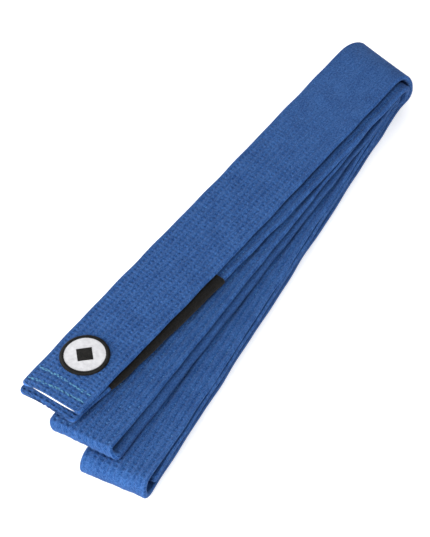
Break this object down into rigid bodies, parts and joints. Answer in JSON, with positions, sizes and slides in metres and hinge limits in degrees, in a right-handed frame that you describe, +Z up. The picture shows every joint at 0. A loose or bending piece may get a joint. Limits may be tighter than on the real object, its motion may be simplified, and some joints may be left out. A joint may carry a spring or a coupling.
{
  "type": "martial arts belt",
  "caption": "Blue quilted cotton martial arts belt folded into eight layers, with a black sleeve on one end and an embroidered badge on the other.",
  "frame": {"origin": "on the ground under the middle of the folded belt", "axes": "+Y along the bottom layers towards the far turns, +Z up, +X to the side where the lower layers show"},
  "size_m": [0.0944, 0.3298, 0.0346],
  "materials": {
    "blue_cotton": "woven cotton twill, quilted",
    "white_core": "felted white ply",
    "blue_thread": "polyester sewing thread",
    "black_cotton": "woven black cotton",
    "badge_white": "white satin stitch embroidery",
    "badge_black": "black embroidery and whipped edge",
    "badge_backing": "plain backing cloth"
  },
  "bodies": {
    "root": {"lower_outer_cover": "blue_cotton", "lower_outer_core": "white_core", "lower_outer_stitching": "blue_thread", "lower_inner_cover": "blue_cotton", "lower_inner_core": "white_core", "far_turn_1_8_cover": "blue_cotton", "far_turn_1_8_core": "white_core", "far_turn_2_7_cover": "blue_cotton", "far_turn_2_7_core": "white_core", "far_turn_3_6_cover": "blue_cotton", "far_turn_3_6_core": "white_core", "far_turn_4_5_cover": "blue_cotton", "far_turn_4_5_core": "white_core"},
    "middle_pair": {"middle_cover": "blue_cotton", "middle_core": "white_core", "middle_stitching": "blue_thread"},
    "bar_end": {"bar_end_cover": "blue_cotton", "bar_end_core": "white_core", "bar_end_stitching": "blue_thread", "bar_end_hem_stitching": "blue_thread", "rank_bar_sleeve": "black_cotton"},
    "badge_end": {"badge_end_cover": "blue_cotton", "badge_end_core": "white_core", "badge_end_stitching": "blue_thread", "badge_end_hem_stitching": "blue_thread", "badge_backing": "badge_backing", "badge_field": "badge_white", "badge_emblem": "badge_black", "badge_border": "badge_black"}
  },
  "joints": [
    {"name": "middle_lift", "type": "hinge", "parent": "root", "child": "middle_pair", "pos_m": [0.02134, 0.13871, 0.015], "axis": [-1, 0, 0], "range_deg": [0, 35], "deforming": ["far_turn_3_6_cover", "far_turn_3_6_core", "far_turn_4_5_cover", "far_turn_4_5_core"]},
    {"name": "bar_end_lift", "type": "hinge", "parent": "middle_pair", "child": "bar_end", "pos_m": [0.02134, 0.13871, 0.015], "axis": [-1, 0, 0], "range_deg": [0, 35], "deforming": ["far_turn_2_7_cover", "far_turn_2_7_core"]},
    {"name": "badge_end_lift", "type": "hinge", "parent": "bar_end", "child": "badge_end", "pos_m": [0.02134, 0.13871, 0.015], "axis": [-1, 0, 0], "range_deg": [0, 35], "deforming": ["far_turn_1_8_cover", "far_turn_1_8_core"]}
  ]
}
